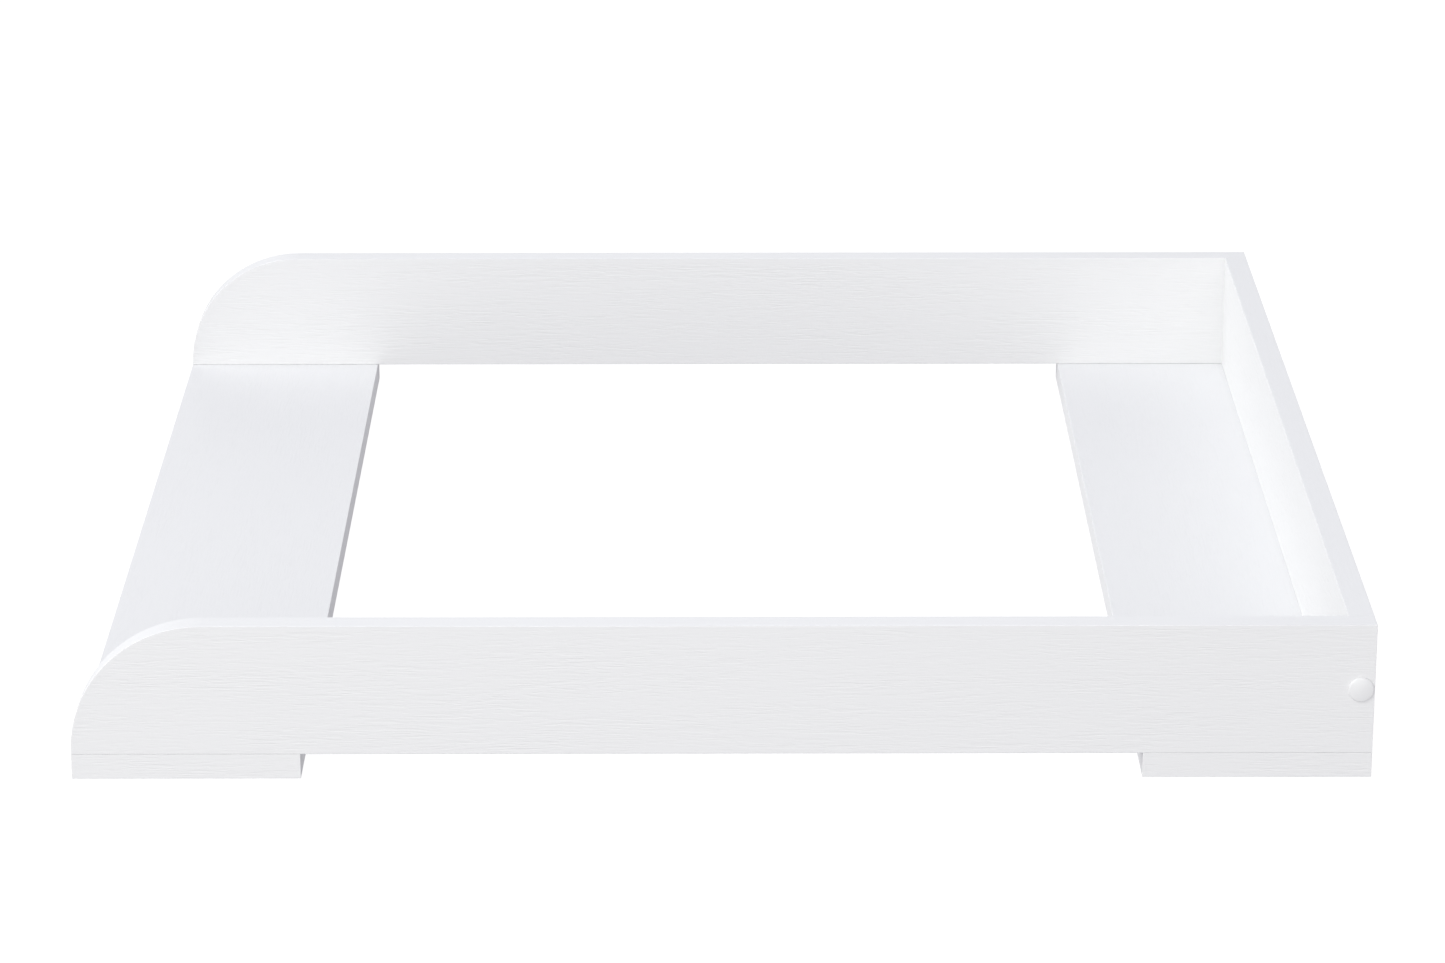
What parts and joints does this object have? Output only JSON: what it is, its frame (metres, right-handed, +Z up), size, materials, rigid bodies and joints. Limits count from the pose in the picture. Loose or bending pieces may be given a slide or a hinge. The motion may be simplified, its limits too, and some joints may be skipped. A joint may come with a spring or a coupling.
{
  "type": "changing table topper",
  "caption": "Open box frame of white wood-grain board that sits on a dresser and holds a changing mat, with rounded side boards at its open front.",
  "frame": {"origin": "middle of the underside, on the surface that the topper stands on", "axes": "+X from the open front end to the back board, +Y to the left side board as seen from the open end, +Z up"},
  "size_m": [0.8, 0.8052, 0.1],
  "materials": {
    "white_board": "matt white, embossed wood grain",
    "white_edging": "matt white",
    "cap_plastic": "satin white",
    "zinc_plated_steel": "bright zinc",
    "beech": "raw"
  },
  "bodies": {
    "root": {"back_board": "white_board", "back_board_top_band": "white_edging", "front_slat": "white_board", "front_slat_inner_band": "white_edging", "front_slat_left_end_band": "white_edging", "front_slat_left_screws": "zinc_plated_steel", "front_slat_outer_band": "white_edging", "front_slat_right_end_band": "white_edging", "front_slat_right_screws": "zinc_plated_steel", "left_joint_dowels": "beech", "left_joint_screw": "zinc_plated_steel", "left_screw_cap": "cap_plastic", "left_side_board": "white_board", "left_side_board_bottom_band": "white_edging", "left_side_board_edge_band": "white_edging", "left_side_board_end_band": "white_edging", "rear_slat": "white_board", "rear_slat_back_screws": "zinc_plated_steel", "rear_slat_inner_band": "white_edging", "rear_slat_left_end_band": "white_edging", "rear_slat_left_screws": "zinc_plated_steel", "rear_slat_outer_band": "white_edging", "rear_slat_right_end_band": "white_edging", "rear_slat_right_screws": "zinc_plated_steel", "right_joint_dowels": "beech", "right_joint_screw": "zinc_plated_steel", "right_screw_cap": "cap_plastic", "right_side_board": "white_board", "right_side_board_bottom_band": "white_edging", "right_side_board_edge_band": "white_edging", "right_side_board_end_band": "white_edging"}
  },
  "joints": []
}
